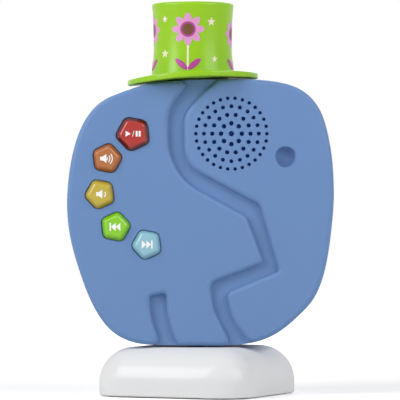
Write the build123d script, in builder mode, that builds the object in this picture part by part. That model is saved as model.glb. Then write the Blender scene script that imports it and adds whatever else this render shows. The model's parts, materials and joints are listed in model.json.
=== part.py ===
from build123d import *
import os
from math import cos, radians, sin

os.makedirs("parts", exist_ok=True)

# Sizes are millimetres and angles are degrees.
# The origin lies on the swivel axis at the floor, +Z is up and the face looks to -Y.

# Stand sizes
base_side = 89.4
base_height = 26.3
base_corner = 20.0
base_shoulder = 19.0
base_foot_round = 1.0
base_wall = 2.4
base_turn = -24.0
base_boss_share = 0.29
base_boss_diameter = 7.0
base_screw_diameter = 2.6
base_screw_length = 8.0
pad_thick = 1.2
pad_proud = 0.6
pad_inset = 4.0
floor_thick = 3.0
ballast_share = 0.76
ballast_thick = 6.0
ballast_corner_share = 0.1
ballast_gap = 1.0

# Swivel sizes
swivel_gap = 0.9
hub_diameter = 26.0
hub_drop = 8.0
post_diameter = 7.4
post_flange_diameter = 23.0
post_flange_thick = 2.5
post_screw_circle = 15.6
post_screw_diameter = 2.2
post_screw_length = 6.0
post_screw_count = 3
journal_diameter = 5.0
journal_gap = 0.05
swivel_play = 0.1
shoulder_lift = 0.2
thrust_thick = 0.5
bush_diameter = 13.0
bush_length = 12.0
bush_collar_diameter = 18.0
bush_collar_thick = 2.2
bush_block_side = 24.0
retainer_diameter = 11.0
retainer_thick = 0.8
retainer_screw_diameter = 3.0
retainer_screw_length = 8.0

# Player body sizes
body_width = 142.5
body_height = 142.5
body_depth = 46.0
body_offset = 1.4
wall = 2.2
groove_depth = 3.6
groove_wall = 1.4
face_round = 2.6
mouth_round = 3.0
back_round = 9.0
seam_bevel = 0.3
lip_thick = 1.0
lip_height = 1.6
lip_root = 3.0
eye_diameter = 11.2
eye_depth = 4.0
eye_rim_round = 0.4
eye_floor_round = 0.8
shell_boss_diameter = 7.0
shell_well_diameter = 6.2
shell_screw_diameter = 2.6
shell_screw_length = 10.0
shell_well_wall = 1.5
shell_well_share = 0.5
boss_end_gap = 0.2

# Button sizes
button_sides = 5
button_radius = 8.5
play_radius = 9.8
button_draft = 43.0
play_draft = 46.0
button_corner_share = 0.36
button_gap = 0.5
button_rise = 2.2
button_edge_share = 0.9
button_travel = 1.2
button_seat_gap = 0.3
button_flange = 0.9
button_flange_thick = 1.2
button_stem_diameter = 5.0
button_stem_length = 2.7
opening_round = 0.4
button_circle = 31.3
button_start = 115.2
button_step = 35.9
plunger_diameter = 3.5
plunger_length = 2.8
switch_side = 6.0
switch_height = 3.7
switch_floor = 1.0
button_board_inner = 16.5
button_board_outer = 42.0
button_board_post_inner = 19.6
button_board_post_outer = 39.6
button_board_post_diameter = 4.6
board_thick = 1.6
board_screw_diameter = 2.0
board_screw_length = 7.0

# Speaker sizes
grille_ring_counts = [8, 14, 20, 30]
grille_ring_shares = [0.294, 0.539, 0.773, 1.0]
grille_hole_shares = [0.87, 0.81, 0.75, 0.67]
grille_radius = 18.95
grille_hole_diameter = 2.85
speaker_diameter = 45.0
speaker_drop = 29.3
grille_pocket_diameter = 42.0
mesh_thick = 0.4
gasket_thick = 1.0
gasket_width = 1.4
basket_flange_width = 3.2
basket_flange_thick = 1.5
basket_wall = 1.0
basket_depth = 12.4
magnet_diameter = 25.0
magnet_thick = 7.0
basket_window_share = 0.62
cone_thick = 0.6
cone_throat_diameter = 13.0
surround_width = 2.2
speaker_screw_head = 6.4
speaker_screw_circle = 50.0
speaker_screw_length = 3.6
speaker_screw_count = 4
speaker_screw_turn = 45.0
cone_drop_share = 0.62
surround_foot = 0.9

# Board and battery sizes
main_board_width = 52.0
main_board_height = 40.0
main_board_lift = 6.2
main_board_corner = 2.0
standoff_diameter = 5.0
standoff_inset = 4.0
chip_thick = 1.4
usb_width = 8.9
usb_height = 3.2
usb_wall = 0.35
usb_slot_gap = 0.25
usb_sink = 0.4
usb_tongue_share = 0.75
usb_depth_share = 0.8
battery_diameter = 18.4
battery_length = 65.0
battery_tip_diameter = 6.0
battery_tip_length = 1.5
cradle_share = 0.86
cradle_wall = 2.0
cradle_floor = 1.2

# Hat sizes
hat_offset = -2.5
hat_gap = 0.6
brim_diameter = 70.4
brim_thick = 3.2
brim_left_drop = 4.6
brim_right_drop = 0.3
brim_reach_share = 1.1
brim_round = 0.9
crown_height = 40.9
crown_top_diameter = 44.5
crown_waist_diameter = 42.1
crown_foot_diameter = 45.0
crown_edge_round = 1.6
crown_wall = 2.0
crown_root = 0.9
plug_diameter = 38.6
plug_thick = 2.4
spigot_diameter = 28.0
spigot_bevel = 0.6
socket_wall = 1.6
socket_depth = 3.4
socket_floor = 3.2
socket_flange_diameter = 36.0
socket_flange_thick = 1.2
socket_sink = 1.2
socket_block_width = 41.0
socket_block_height = 3.3
hat_magnet_diameter = 8.0
hat_magnet_thick = 2.4
hat_magnet_spread = 18.0
magnet_cover = 0.8
reader_width = 20.0
reader_depth = 26.0
reader_thick = 1.2
tag_diameter = 30.0
tag_thick = 0.4

# Clearances
fit_gap = 0.15
lift_gap = 0.3
cut_margin = 2.0
thread_gap = 0.05
head_width_share = 1.9
head_height_share = 0.7

# Outline of the player as shares of its width and height from its middle, from the right side round
outline_shares = [
    (0.502, 0.085),
    (0.4965, 0.190),
    (0.4785, 0.298),
    (0.4425, 0.396),
    (0.380, 0.4585),
    (0.294, 0.488),
    (0.160, 0.499),
    (-0.037, 0.496),
    (-0.204, 0.4795),
    (-0.2826, 0.4542),
    (-0.3725, 0.4121),
    (-0.4323, 0.3424),
    (-0.468, 0.256),
    (-0.4925, 0.130),
    (-0.4985, 0.020),
    (-0.487, -0.0907),
    (-0.452, -0.220),
    (-0.3953, -0.3601),
    (-0.334, -0.443),
    (-0.2602, -0.4845),
    (-0.150, -0.498),
    (0.0, -0.500),
    (0.120, -0.4985),
    (0.2265, -0.4814),
    (0.3013, -0.4456),
    (0.3676, -0.3901),
    (0.424, -0.327),
    (0.456, -0.259),
    (0.479, -0.165),
    (0.495, -0.045),
]

# Edges of the ear and trunk groove, top to bottom: width share, height share, corner radius share
trunk_left_shares = [
    (-0.049, 0.548, 0.0),
    (-0.051, 0.469, 0.034),
    (-0.120, 0.386, 0.139),
    (-0.118, 0.1455, 0.221),
    (0.174, -0.016, 0.021),
    (0.239, -0.190, 0.022),
    (0.038, -0.267, 0.034),
    (0.051, -0.366, 0.150),
    (0.116, -0.493, 0.030),
    (0.094, -0.560, 0.0),
]
trunk_right_shares = [
    (0.135, 0.555, 0.0),
    (0.013, 0.450, 0.225),
    (-0.060, 0.368, 0.097),
    (-0.057, 0.177, 0.110),
    (0.2246, 0.0258, 0.030),
    (0.298, -0.220, 0.015),
    (0.099, -0.302, 0.025),
    (0.118, -0.396, 0.225),
    (0.176, -0.478, 0.052),
    (0.270, -0.515, 0.0),
]

# Edge of the slot between the legs, up one side and down the other
leg_slot_shares = [
    (-0.183, -0.560, 0.0),
    (-0.156, -0.470, 0.030),
    (-0.183, -0.396, 0.225),
    (-0.189, -0.316, 0.014),
    (-0.127, -0.302, 0.014),
    (-0.122, -0.388, 0.225),
    (-0.097, -0.468, 0.075),
    (-0.037, -0.560, 0.0),
]

# Places on the face and inside the player as shares of its width and height
eye_share = (0.320, 0.207)
speaker_across_share = 0.1175
button_centre_share = (-0.156, 0.095)
shell_screw_shares = [
    (-0.323, 0.379),
    (0.351, 0.365),
    (0.435, 0.0),
    (0.295, -0.337),
    (-0.295, -0.337),
    (-0.432, -0.098),
]
main_board_share = (0.168, -0.042)
usb_share = (0.253, -0.084)
battery_share = (0.0, -0.309)

# Chips on the main board: place and size as shares of the board
chip_shares = [
    (-0.22, 0.14, 0.23, 0.30),
    (0.16, 0.22, 0.14, 0.18),
    (0.20, -0.18, 0.20, 0.14),
    (-0.26, -0.26, 0.10, 0.16),
]

# Levels that follow from the sizes
base_roof = base_height - base_wall
floor_top = pad_thick + floor_thick
base_boss_reach = base_boss_share * base_side
hub_bottom = base_roof - hub_drop
body_bottom = base_height + swivel_gap
body_top = body_bottom + body_height
body_x = body_offset
body_z = body_bottom + body_height / 2
post_shoulder = body_bottom + shoulder_lift
bush_bottom = post_shoulder + thrust_thick + swivel_play
bush_top = bush_bottom + bush_length
journal_top = bush_top + swivel_play
bush_collar_bottom = bush_bottom + (bush_length - bush_collar_thick) / 2
half_depth = body_depth / 2
groove_level = half_depth - groove_depth
inner_front = groove_level - groove_wall
inner_back = half_depth - wall
hat_seat = body_top + hat_gap
hat_x = hat_offset
socket_top = body_top - socket_sink
socket_floor_level = socket_top - socket_depth
socket_bottom = socket_floor_level - socket_floor
socket_diameter = spigot_diameter + 2 * lift_gap
socket_outer = socket_diameter + 2 * socket_wall
socket_block_bottom = socket_top - socket_flange_thick - socket_block_height
spigot_bottom = socket_floor_level + lift_gap
hat_top = hat_seat + crown_height
cap_flange_front = inner_front - button_seat_gap
cap_flange_back = cap_flange_front - button_flange_thick
plunger_front = cap_flange_back - button_stem_length
switch_front = plunger_front - plunger_length + switch_height - switch_floor - button_travel - lift_gap
button_board_front = switch_front - switch_height
speaker_middle = (body_x + speaker_across_share * body_width, body_top - speaker_drop)
basket_front = inner_front - gasket_thick
basket_back = basket_front - basket_depth
main_board_back = -(inner_back - main_board_lift)
main_board_front = main_board_back + board_thick
shell_well_floor = -half_depth * shell_well_share
battery_forward = -(inner_back - cradle_floor - battery_diameter / 2)


def facing(forward):
    """Plane parallel to the face, so far in front of the seam between the halves, looking out."""
    return Plane.XZ.offset(forward)


def spot(share):
    """Place on the face for shares of the player's width and height."""
    return (body_x + share[0] * body_width, body_z + share[1] * body_height)


def body_outline(inset):
    """Closed outline of the player, moved in from its skin."""
    across = body_width - 2 * inset
    tall = body_height - 2 * inset
    places = [(body_x + x * across, body_z + z * tall) for x, z in outline_shares]
    return Spline(*places, periodic=True)


def groove_edge(shares):
    """Rounded edge of a groove."""
    rounds = [body_width * share[2] for share in shares[1:-1]]
    return FilletPolyline(*[spot(share) for share in shares], radius=rounds)


def button_plane(place, forward):
    """Plane of one button, its X pointing away from the middle of the button arc."""
    turn = radians(button_start + place * button_step)
    middle = spot(button_centre_share)
    across = middle[0] + button_circle * cos(turn)
    up = middle[1] + button_circle * sin(turn)
    return Plane(origin=(across, -forward, up), x_dir=(cos(turn), 0, sin(turn)), z_dir=(0, -1, 0))


def arc_plane(forward):
    """Plane with its origin in the middle of the button arc."""
    middle = spot(button_centre_share)
    return Plane(origin=(middle[0], -forward, middle[1]), x_dir=(1, 0, 0), z_dir=(0, -1, 0))


def speaker_plane(forward):
    """Plane with its origin on the speaker's axis."""
    middle = speaker_middle
    return Plane(origin=(middle[0], -forward, middle[1]), x_dir=(1, 0, 0), z_dir=(0, -1, 0))


def battery_plane(along):
    """Plane across the cell, so far along it: X to the back, Y up."""
    middle = spot(battery_share)
    return Plane(origin=(middle[0] + along, -battery_forward, middle[1]), x_dir=(0, 1, 0), z_dir=(1, 0, 0))


def socket_block(gap, mode):
    """Section on the seam of the block that holds the hat socket."""
    with Locations((hat_x, socket_block_bottom - gap)):
        width = socket_block_width + 2 * gap
        Rectangle(width, body_top - socket_block_bottom + gap, align=(Align.CENTER, Align.MIN), mode=mode)


def bush_block(gap, mode):
    """Section on the seam of the block that holds the bush."""
    with Locations((0, body_bottom)):
        width = bush_block_side + 2 * gap
        Rectangle(width, bush_top - body_bottom + gap, align=(Align.CENTER, Align.MIN), mode=mode)


def hat_level(height):
    """Level plane with its origin on the hat's axis."""
    return Plane.XY.offset(height).shift_origin((hat_x, 0, height))


def stand_level(height):
    """Level plane turned with the stand."""
    return Plane.XY.rotated((0, 0, base_turn)).offset(height)


def finish(builder, name):
    """Name a finished piece and write it."""
    builder.part.label = name
    export_step(builder.part, "parts/" + name + ".step")


button_names = ["play", "volume_up", "volume_down", "previous", "next"]
button_radii = [play_radius] + [button_radius] * (len(button_names) - 1)
button_drafts = [play_draft] + [button_draft] * (len(button_names) - 1)
button_board_posts = [
    (button_board_post_inner, button_start + button_step),
    (button_board_post_inner, button_start + 3 * button_step),
    (button_board_post_outer, button_start + 1.5 * button_step),
    (button_board_post_outer, button_start + 2.5 * button_step),
]
button_post_places = [(r * cos(radians(a)), r * sin(radians(a))) for r, a in button_board_posts]
base_boss_places = [(x * base_boss_reach, y * base_boss_reach) for x in (-1, 1) for y in (-1, 1)]
standoff_x = main_board_width / 2 - standoff_inset
standoff_z = main_board_height / 2 - standoff_inset
main_board_middle = spot(main_board_share)
shell_screw_places = [spot(share) for share in shell_screw_shares]
inner_side = base_side - 2 * base_wall
rim_radius = speaker_diameter / 2 - basket_flange_width
cone_radius = rim_radius - surround_width
speaker_axis = Axis((speaker_middle[0], 0, speaker_middle[1]), (0, 1, 0))
hat_axis = Axis((hat_x, 0, 0), (0, 0, 1))
speaker_section = Plane(
    origin=(speaker_middle[0], 0, speaker_middle[1]),
    x_dir=(1, 0, 0),
    z_dir=(0, 0, -1),
)

# Hollow of the stand
with BuildPart() as base_hollow:
    with BuildSketch(stand_level(0)):
        RectangleRounded(inner_side, inner_side, base_corner - base_wall)
    extrude(amount=base_roof)
    fillet(base_hollow.faces().sort_by(Axis.Z)[-1].edges(), radius=base_shoulder - base_wall)

# Stand shell: a rounded square with a deep soft shoulder, a hub for the post and four screw bosses
with BuildPart() as base_shell:
    with BuildSketch(stand_level(pad_proud)):
        RectangleRounded(base_side, base_side, base_corner)
    extrude(amount=base_height - pad_proud)
    fillet(base_shell.faces().sort_by(Axis.Z)[-1].edges(), radius=base_shoulder)
    fillet(base_shell.faces().sort_by(Axis.Z)[0].edges(), radius=base_foot_round)
    add(base_hollow.part, mode=Mode.SUBTRACT)
    with BuildSketch(stand_level(floor_top)):
        with Locations(*base_boss_places):
            Circle(base_boss_diameter / 2)
    extrude(amount=base_roof - floor_top + base_wall / 2)
    with BuildSketch(stand_level(hub_bottom)):
        Circle(hub_diameter / 2)
    extrude(amount=hub_drop + base_wall / 2)
    with BuildSketch(stand_level(hub_bottom)):
        Circle(post_diameter / 2 + thread_gap)
    extrude(amount=hub_drop + base_wall, mode=Mode.SUBTRACT)
    with BuildSketch(stand_level(hub_bottom)):
        with PolarLocations(post_screw_circle / 2, post_screw_count):
            Circle(post_screw_diameter / 2 + thread_gap)
    extrude(amount=post_screw_length, mode=Mode.SUBTRACT)
    with BuildSketch(stand_level(floor_top)):
        with Locations(*base_boss_places):
            Circle(base_screw_diameter / 2 + thread_gap)
    extrude(amount=base_screw_length, mode=Mode.SUBTRACT)
finish(base_shell, "base_shell")

# Floor plate that closes the stand, with sunk screw heads
with BuildPart() as base_floor:
    with BuildSketch(stand_level(pad_thick)):
        floor_side = inner_side - 2 * fit_gap
        RectangleRounded(floor_side, floor_side, base_corner - base_wall - fit_gap)
        with Locations(*base_boss_places):
            Circle(base_screw_diameter / 2 + fit_gap, mode=Mode.SUBTRACT)
    extrude(amount=floor_thick)
    with BuildSketch(stand_level(pad_thick)):
        with Locations(*base_boss_places):
            Circle(base_screw_diameter * head_width_share / 2 + fit_gap)
    extrude(amount=base_screw_diameter * head_height_share, mode=Mode.SUBTRACT)
finish(base_floor, "base_floor")

# Screws of the floor plate
with BuildPart() as base_screws:
    with BuildSketch(stand_level(pad_thick)):
        with Locations(*base_boss_places):
            Circle(base_screw_diameter * head_width_share / 2)
    extrude(amount=base_screw_diameter * head_height_share)
    with BuildSketch(stand_level(pad_thick)):
        with Locations(*base_boss_places):
            Circle(base_screw_diameter / 2)
    extrude(amount=floor_thick + base_screw_length - fit_gap)
finish(base_screws, "base_screws")

# Steel weight on the floor plate
with BuildPart() as base_ballast:
    with BuildSketch(stand_level(floor_top)):
        ballast_side = ballast_share * base_side
        RectangleRounded(ballast_side, ballast_side, ballast_corner_share * base_side)
        with Locations(*base_boss_places):
            Circle(base_boss_diameter / 2 + ballast_gap, mode=Mode.SUBTRACT)
    extrude(amount=ballast_thick)
finish(base_ballast, "base_ballast")

# Non-slip sheet, the face that the player stands on
with BuildPart() as base_pad:
    with BuildSketch(stand_level(0)):
        pad_side = base_side - 2 * pad_inset
        RectangleRounded(pad_side, pad_side, base_corner - pad_inset)
    extrude(amount=pad_thick)
finish(base_pad, "base_pad")

# Flanged post with a journal on its upper end
with BuildPart() as swivel_post:
    with BuildSketch(stand_level(hub_bottom - post_flange_thick)):
        Circle(post_flange_diameter / 2)
        with PolarLocations(post_screw_circle / 2, post_screw_count):
            Circle(post_screw_diameter / 2 + fit_gap, mode=Mode.SUBTRACT)
    extrude(amount=post_flange_thick)
    with BuildSketch(stand_level(hub_bottom)):
        Circle(post_diameter / 2)
    extrude(amount=post_shoulder - hub_bottom)
    with BuildSketch(stand_level(post_shoulder)):
        Circle(journal_diameter / 2)
    extrude(amount=journal_top - post_shoulder)
    with BuildSketch(stand_level(journal_top)):
        Circle(retainer_screw_diameter / 2 + thread_gap)
    extrude(amount=-retainer_screw_length, mode=Mode.SUBTRACT)
finish(swivel_post, "swivel_post")

# Screws of the post's flange
with BuildPart() as post_screws:
    with BuildSketch(stand_level(hub_bottom - post_flange_thick)):
        with PolarLocations(post_screw_circle / 2, post_screw_count):
            Circle(post_screw_diameter * head_width_share / 2)
    extrude(amount=-post_screw_diameter * head_height_share)
    with BuildSketch(stand_level(hub_bottom - post_flange_thick)):
        with PolarLocations(post_screw_circle / 2, post_screw_count):
            Circle(post_screw_diameter / 2)
    extrude(amount=post_flange_thick + post_screw_length - fit_gap)
finish(post_screws, "post_screws")

# Washer under the bush
with BuildPart() as thrust_washer:
    with BuildSketch(stand_level(post_shoulder)):
        Circle(retainer_diameter / 2)
        Circle(journal_diameter / 2 + journal_gap, mode=Mode.SUBTRACT)
    extrude(amount=thrust_thick)
finish(thrust_washer, "thrust_washer")

# Washer and screw that keep the player on the post
with BuildPart() as retaining_washer:
    with BuildSketch(stand_level(journal_top)):
        Circle(retainer_diameter / 2)
        Circle(retainer_screw_diameter / 2 + thread_gap, mode=Mode.SUBTRACT)
    extrude(amount=retainer_thick)
finish(retaining_washer, "retaining_washer")

with BuildPart() as retaining_screw:
    with BuildSketch(stand_level(journal_top + retainer_thick)):
        Circle(retainer_screw_diameter * head_width_share / 2)
    extrude(amount=retainer_screw_diameter * head_height_share)
    with BuildSketch(stand_level(journal_top + retainer_thick)):
        Circle(retainer_screw_diameter / 2)
    extrude(amount=fit_gap - retainer_screw_length)
finish(retaining_screw, "retaining_screw")

# Bush with a collar, trapped between the two halves of the player
with BuildPart() as swivel_bush:
    with BuildSketch(Plane.XY.offset(bush_bottom)):
        Circle(bush_diameter / 2)
    extrude(amount=bush_length)
    with BuildSketch(Plane.XY.offset(bush_collar_bottom)):
        Circle(bush_collar_diameter / 2)
    extrude(amount=bush_collar_thick)
    with BuildSketch(Plane.XY.offset(bush_bottom)):
        Circle(journal_diameter / 2 + journal_gap)
    extrude(amount=bush_length, mode=Mode.SUBTRACT)
finish(swivel_bush, "swivel_bush")

# Raised fields of the face, parted by the trunk groove and notched by the leg slot
with BuildPart() as face_pads:
    with BuildSketch(facing(groove_level)):
        with BuildLine():
            body_outline(0)
        make_face()
        with BuildLine():
            left_edge = groove_edge(trunk_left_shares)
            right_edge = groove_edge(trunk_right_shares)
            Line(left_edge @ 0, right_edge @ 0)
            Line(left_edge @ 1, right_edge @ 1)
        make_face(mode=Mode.SUBTRACT)
        with BuildLine():
            slot_edge = groove_edge(leg_slot_shares)
            Line(slot_edge @ 0, slot_edge @ 1)
        make_face(mode=Mode.SUBTRACT)
    extrude(amount=groove_depth)
    mouth_edges = face_pads.edges().filter_by(Axis.Y).sort_by(Axis.Z)
    fillet(mouth_edges[:4] + mouth_edges[-2:], radius=mouth_round)
    fillet(face_pads.faces().group_by(Axis.Y)[0].edges(), radius=face_round)

# Holes in the blocks that hold the bush below and the hat socket above
with BuildPart() as seat_holes:
    with BuildSketch(Plane.XY.offset(body_bottom - cut_margin)):
        Circle(bush_diameter / 2 + fit_gap)
    extrude(amount=bush_top - body_bottom + 2 * cut_margin)
    with BuildSketch(Plane.XY.offset(bush_collar_bottom - fit_gap)):
        Circle(bush_collar_diameter / 2 + fit_gap)
    extrude(amount=bush_collar_thick + 2 * fit_gap)
    with BuildSketch(hat_level(socket_bottom)):
        Circle(socket_outer / 2 + fit_gap)
    extrude(amount=body_top - socket_bottom + cut_margin)
    with BuildSketch(hat_level(socket_top - socket_flange_thick)):
        Circle(socket_flange_diameter / 2 + fit_gap)
    extrude(amount=body_top - socket_top + socket_flange_thick + cut_margin)

# Hollow of the front half, with the blocks left standing
with BuildPart() as front_hollow:
    with BuildSketch(facing(0)):
        with BuildLine():
            body_outline(wall)
        make_face()
        socket_block(0, Mode.SUBTRACT)
    extrude(amount=inner_front)
    with BuildSketch(facing(0)):
        bush_block(0, Mode.ADD)
    extrude(amount=bush_block_side / 2, mode=Mode.SUBTRACT)

# Front half: the moulded face with its relief, eye, grille and button openings
with BuildPart() as front_shell:
    with BuildSketch(facing(0)):
        with BuildLine():
            body_outline(0)
        make_face()
    extrude(amount=groove_level)
    chamfer(front_shell.faces().sort_by(Axis.Y)[-1].edges(), length=seam_bevel)
    add(face_pads.part)
    add(front_hollow.part, mode=Mode.SUBTRACT)
    with BuildSketch(facing(boss_end_gap)):
        with Locations(*shell_screw_places):
            Circle(shell_boss_diameter / 2)
    extrude(amount=inner_front - boss_end_gap + wall / 2)
    with BuildSketch(arc_plane(button_board_front)):
        with Locations(*button_post_places):
            Circle(button_board_post_diameter / 2)
    extrude(amount=inner_front - button_board_front + wall / 2)
    with BuildSketch(speaker_plane(basket_front - basket_flange_thick)):
        with PolarLocations(speaker_screw_circle / 2, speaker_screw_count, speaker_screw_turn):
            Circle(button_board_post_diameter / 2)
    extrude(amount=inner_front - basket_front + basket_flange_thick + wall / 2)
    add(seat_holes.part, mode=Mode.SUBTRACT)
    with BuildSketch(facing(0)):
        with Locations(*shell_screw_places):
            Circle(shell_screw_diameter / 2 + thread_gap)
    extrude(amount=shell_screw_length, mode=Mode.SUBTRACT)
    with BuildSketch(arc_plane(button_board_front)):
        with Locations(*button_post_places):
            Circle(board_screw_diameter / 2 + thread_gap)
    extrude(amount=board_screw_length, mode=Mode.SUBTRACT)
    with BuildSketch(speaker_plane(basket_front - basket_flange_thick)):
        with PolarLocations(speaker_screw_circle / 2, speaker_screw_count, speaker_screw_turn):
            Circle(board_screw_diameter / 2 + thread_gap)
    extrude(amount=speaker_screw_length, mode=Mode.SUBTRACT)
    with BuildSketch(facing(half_depth)):
        with Locations(spot(eye_share)):
            Circle(eye_diameter / 2)
    extrude(amount=-eye_depth, mode=Mode.SUBTRACT)
    eye_rim = front_shell.edges(Select.LAST).filter_by(GeomType.CIRCLE).sort_by(Axis.Y)[0]
    fillet(eye_rim, radius=eye_rim_round)
    eye_floor = (spot(eye_share)[0], eye_depth - half_depth, spot(eye_share)[1])
    floor_edge = front_shell.edges().filter_by(GeomType.CIRCLE).sort_by_distance(eye_floor)[0]
    fillet(floor_edge, radius=eye_floor_round)
    for place, radius in enumerate(button_radii):
        with BuildSketch(button_plane(place, inner_front)) as opening:
            RegularPolygon(radius + button_gap, button_sides)
            fillet(opening.vertices(), radius=radius * button_corner_share + button_gap)
        extrude(amount=half_depth - inner_front, mode=Mode.SUBTRACT)
        fillet(front_shell.edges(Select.LAST).group_by(Axis.Y)[0], radius=opening_round)
    with BuildSketch(speaker_plane(inner_front)):
        Circle(grille_pocket_diameter / 2)
    extrude(amount=half_depth - wall - inner_front, mode=Mode.SUBTRACT)
    with BuildSketch(speaker_plane(inner_front)):
        Circle(grille_hole_diameter / 2)
        for ring, count in enumerate(grille_ring_counts):
            with PolarLocations(grille_radius * grille_ring_shares[ring], count):
                Circle(grille_hole_diameter * grille_hole_shares[ring] / 2)
    extrude(amount=half_depth - inner_front, mode=Mode.SUBTRACT)
finish(front_shell, "front_shell")

# Hollow of the rear half, with the blocks and the screw bosses left standing
with BuildPart() as rear_hollow:
    with BuildSketch(facing(0)):
        with BuildLine():
            body_outline(wall)
        make_face()
    extrude(amount=-inner_back)
    fillet(rear_hollow.faces().sort_by(Axis.Y)[-1].edges(), radius=back_round - wall)
    with BuildSketch(facing(0)):
        socket_block(0, Mode.ADD)
    extrude(amount=-inner_back, mode=Mode.SUBTRACT)
    with BuildSketch(facing(0)):
        bush_block(0, Mode.ADD)
    extrude(amount=-bush_block_side / 2, mode=Mode.SUBTRACT)
    with BuildSketch(facing(-boss_end_gap)):
        with Locations(*shell_screw_places):
            Circle(shell_well_diameter / 2 + shell_well_wall)
    extrude(amount=-half_depth, mode=Mode.SUBTRACT)

# Rear half: a plain rounded back with sunk screw wells, a charging slot and a lip inside the seam
with BuildPart() as rear_shell:
    with BuildSketch(facing(0)):
        with BuildLine():
            body_outline(0)
        make_face()
    extrude(amount=-half_depth)
    fillet(rear_shell.faces().sort_by(Axis.Y)[-1].edges(), radius=back_round)
    chamfer(rear_shell.faces().sort_by(Axis.Y)[0].edges(), length=seam_bevel)
    add(rear_hollow.part, mode=Mode.SUBTRACT)
    with BuildSketch(facing(-lip_root)):
        with BuildLine():
            body_outline(wall / 2)
        make_face()
        with BuildLine():
            body_outline(wall + fit_gap + lip_thick)
        make_face(mode=Mode.SUBTRACT)
    extrude(amount=lip_root)
    with BuildSketch(facing(0)):
        with BuildLine():
            body_outline(wall + fit_gap)
        make_face()
        with BuildLine():
            body_outline(wall + fit_gap + lip_thick)
        make_face(mode=Mode.SUBTRACT)
        socket_block(fit_gap, Mode.SUBTRACT)
        bush_block(fit_gap, Mode.SUBTRACT)
    extrude(amount=lip_height)
    with BuildSketch(facing(main_board_back)):
        with Locations(main_board_middle):
            with GridLocations(2 * standoff_x, 2 * standoff_z, 2, 2):
                Circle(standoff_diameter / 2)
    extrude(amount=-(main_board_lift + wall / 2))
    add(seat_holes.part, mode=Mode.SUBTRACT)
    with BuildSketch(facing(shell_well_floor)):
        with Locations(*shell_screw_places):
            Circle(shell_well_diameter / 2)
    extrude(amount=-half_depth, mode=Mode.SUBTRACT)
    with BuildSketch(facing(0)):
        with Locations(*shell_screw_places):
            Circle(shell_screw_diameter / 2 + fit_gap)
    extrude(amount=-half_depth, mode=Mode.SUBTRACT)
    with BuildSketch(facing(main_board_back)):
        with Locations(main_board_middle):
            with GridLocations(2 * standoff_x, 2 * standoff_z, 2, 2):
                Circle(board_screw_diameter / 2 + thread_gap)
    extrude(amount=-main_board_lift, mode=Mode.SUBTRACT)
    with BuildSketch(facing(-inner_back + wall)):
        with Locations(spot(usb_share)):
            SlotOverall(usb_width + 2 * usb_slot_gap, usb_height + 2 * usb_slot_gap)
    extrude(amount=-half_depth, mode=Mode.SUBTRACT)
finish(rear_shell, "rear_shell")

# Screws that join the halves, from the back
with BuildPart() as shell_screws:
    with BuildSketch(facing(shell_well_floor)):
        with Locations(*shell_screw_places):
            Circle(shell_screw_diameter * head_width_share / 2)
    extrude(amount=-shell_screw_diameter * head_height_share)
    with BuildSketch(facing(shell_well_floor)):
        with Locations(*shell_screw_places):
            Circle(shell_screw_diameter / 2)
    extrude(amount=shell_screw_length - shell_well_floor - fit_gap)
finish(shell_screws, "shell_screws")

# Cup in the top of the head
with BuildPart() as hat_socket:
    with BuildSketch(hat_level(socket_bottom)):
        Circle(socket_outer / 2)
    extrude(amount=socket_top - socket_bottom)
    with BuildSketch(hat_level(socket_top - socket_flange_thick)):
        Circle(socket_flange_diameter / 2)
    extrude(amount=socket_flange_thick)
    with BuildSketch(hat_level(socket_floor_level)):
        Circle(socket_diameter / 2)
    extrude(amount=socket_depth, mode=Mode.SUBTRACT)
    with BuildSketch(hat_level(socket_bottom)):
        with GridLocations(0, hat_magnet_spread, 1, 2):
            Circle(hat_magnet_diameter / 2 + thread_gap)
    extrude(amount=socket_floor - magnet_cover, mode=Mode.SUBTRACT)
finish(hat_socket, "hat_socket")

# Magnets in the cup's floor and the reader board under them
with BuildPart() as socket_magnets:
    with BuildSketch(hat_level(socket_bottom)):
        with GridLocations(0, hat_magnet_spread, 1, 2):
            Circle(hat_magnet_diameter / 2)
    extrude(amount=socket_floor - magnet_cover)
finish(socket_magnets, "socket_magnets")

with BuildPart() as reader_board:
    with BuildSketch(hat_level(socket_bottom)):
        Rectangle(reader_width, reader_depth)
    extrude(amount=-reader_thick)
finish(reader_board, "reader_board")

# Dust mesh behind the grille holes
with BuildPart() as grille_mesh:
    with BuildSketch(speaker_plane(half_depth - wall)):
        Circle(grille_pocket_diameter / 2 - fit_gap)
    extrude(amount=-mesh_thick)
finish(grille_mesh, "grille_mesh")

# Foam ring between the shell and the speaker
with BuildPart() as speaker_gasket:
    with BuildSketch(speaker_plane(basket_front)):
        Circle(speaker_diameter / 2)
        Circle(speaker_diameter / 2 - gasket_width, mode=Mode.SUBTRACT)
    extrude(amount=gasket_thick)
finish(speaker_gasket, "speaker_gasket")

# Pressed speaker basket with four windows
with BuildPart() as speaker_basket:
    flange_back = basket_front - basket_flange_thick
    with BuildSketch(speaker_section):
        with BuildLine():
            Polyline(
                (0, basket_back),
                (magnet_diameter / 2, basket_back),
                (rim_radius + basket_wall, flange_back),
                (speaker_diameter / 2, flange_back),
                (speaker_diameter / 2, basket_front),
                (rim_radius, basket_front),
                (magnet_diameter / 2 - basket_wall, basket_back + basket_wall),
                (0, basket_back + basket_wall),
                close=True,
            )
        make_face()
    revolve(axis=speaker_axis)
    with BuildSketch(speaker_plane(basket_back + 2 * basket_wall)):
        with PolarLocations((rim_radius + magnet_diameter / 2) / 2, speaker_screw_count):
            Rectangle(basket_window_share * magnet_diameter / 2, basket_window_share * magnet_diameter)
    extrude(amount=basket_window_share * basket_depth, mode=Mode.SUBTRACT)
finish(speaker_basket, "speaker_basket")

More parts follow.
